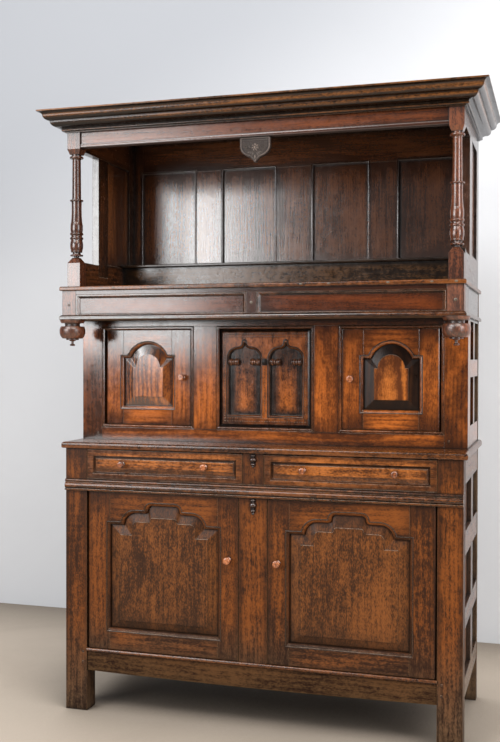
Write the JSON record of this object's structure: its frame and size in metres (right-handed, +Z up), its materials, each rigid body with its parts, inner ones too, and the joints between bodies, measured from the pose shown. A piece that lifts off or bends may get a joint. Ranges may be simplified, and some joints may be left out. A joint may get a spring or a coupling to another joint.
{
  "type": "court cupboard",
  "caption": "Three-tier joined oak cupboard: shaped-panel doors and drawers below, arched doors under a pendant frieze, open canopied top with turned posts.",
  "frame": {"origin": "on the floor, under the middle of the overall width and depth", "axes": "+X to the right seen from the front, +Y to the back, +Z up; the front faces -Y"},
  "size_m": [1.46, 0.602, 2],
  "materials": {
    "oak_frame": "old wax polish",
    "oak_panel": "old wax polish",
    "oak_moulding": "old wax polish",
    "oak_turned": "old wax polish",
    "oak_interior": "dry, unpolished",
    "iron": "forged, dull"
  },
  "bodies": {
    "carcase": {"base_front_posts": "oak_frame", "base_muntins": "oak_frame", "apron_rail": "oak_frame", "waist_rail": "oak_frame", "base_mouldings": "oak_moulding", "split_turnings": "oak_turned", "base_side_frames": "oak_frame", "base_side_panels": "oak_panel", "base_rear_frame": "oak_interior", "base_back_boards": "oak_interior", "base_floor_boards": "oak_interior", "drawer_runners": "oak_interior", "base_top_board": "oak_moulding", "hinge_pins": "iron", "middle_front_frame": "oak_frame", "middle_opening_beads": "oak_moulding", "centre_panel": "oak_panel", "arch_bobbins": "oak_turned", "middle_side_frames": "oak_frame", "middle_side_panels": "oak_panel", "middle_rear_frame": "oak_interior", "middle_back_boards": "oak_interior", "middle_floor_boards": "oak_interior", "frieze_pendants": "oak_turned", "frieze_frame": "oak_frame", "frieze_panels": "oak_panel", "frieze_panel_mouldings": "oak_moulding", "frieze_lower_moulding": "oak_moulding", "frieze_sides": "oak_frame", "frieze_soffit": "oak_interior", "frieze_top_board": "oak_moulding", "frame_pegs": "oak_turned", "top_posts": "oak_turned", "top_side_frames": "oak_frame", "top_side_panels": "oak_panel", "top_front_rail": "oak_frame", "shield_plaque": "oak_panel", "back_frame": "oak_frame", "back_panels": "oak_panel", "back_ledge": "oak_frame", "canopy_boards": "oak_interior", "cornice": "oak_moulding"},
    "left_base_door": {"left_base_door_frame": "oak_frame", "left_base_door_panel": "oak_panel"},
    "left_base_latch": {"left_base_door_latch": "oak_turned"},
    "left_middle_door": {"left_middle_door_frame": "oak_frame", "left_middle_door_panel": "oak_panel"},
    "left_middle_latch": {"left_middle_door_latch": "oak_turned"},
    "left_drawer": {"left_drawer_front": "oak_panel", "left_drawer_box": "oak_interior", "left_drawer_knobs": "oak_turned"},
    "right_base_door": {"right_base_door_frame": "oak_frame", "right_base_door_panel": "oak_panel"},
    "right_base_latch": {"right_base_door_latch": "oak_turned"},
    "right_middle_door": {"right_middle_door_frame": "oak_frame", "right_middle_door_panel": "oak_panel"},
    "right_middle_latch": {"right_middle_door_latch": "oak_turned"},
    "right_drawer": {"right_drawer_front": "oak_panel", "right_drawer_box": "oak_interior", "right_drawer_knobs": "oak_turned"}
  },
  "joints": [
    {"name": "left_base_door_hinge", "type": "hinge", "parent": "carcase", "child": "left_base_door", "pos_m": [-0.566, -0.217, 0.475], "axis": [0, 0, -1], "range_deg": [0, 95]},
    {"name": "left_base_latch_turn", "type": "hinge", "parent": "left_base_door", "child": "left_base_latch", "pos_m": [-0.082, -0.229, 0.536], "axis": [0, -1, 0], "range_deg": [0, 90]},
    {"name": "left_middle_door_hinge", "type": "hinge", "parent": "carcase", "child": "left_middle_door", "pos_m": [-0.562, -0.088, 1.116], "axis": [0, 0, -1], "range_deg": [0, 90]},
    {"name": "left_middle_latch_turn", "type": "hinge", "parent": "left_middle_door", "child": "left_middle_latch", "pos_m": [-0.288, -0.099, 1.116], "axis": [0, -1, 0], "range_deg": [0, 90]},
    {"name": "left_drawer_slide", "type": "slide", "parent": "carcase", "child": "left_drawer", "axis": [0, -1, 0], "range_m": [0, 0.36]},
    {"name": "right_base_door_hinge", "type": "hinge", "parent": "carcase", "child": "right_base_door", "pos_m": [0.566, -0.217, 0.475], "axis": [0, 0, 1], "range_deg": [0, 95]},
    {"name": "right_base_latch_turn", "type": "hinge", "parent": "right_base_door", "child": "right_base_latch", "pos_m": [0.082, -0.229, 0.536], "axis": [0, 1, 0], "range_deg": [0, 90]},
    {"name": "right_middle_door_hinge", "type": "hinge", "parent": "carcase", "child": "right_middle_door", "pos_m": [0.562, -0.088, 1.116], "axis": [0, 0, 1], "range_deg": [0, 90]},
    {"name": "right_middle_latch_turn", "type": "hinge", "parent": "right_middle_door", "child": "right_middle_latch", "pos_m": [0.288, -0.099, 1.116], "axis": [0, 1, 0], "range_deg": [0, 90]},
    {"name": "right_drawer_slide", "type": "slide", "parent": "carcase", "child": "right_drawer", "axis": [0, -1, 0], "range_m": [0, 0.36]}
  ]
}
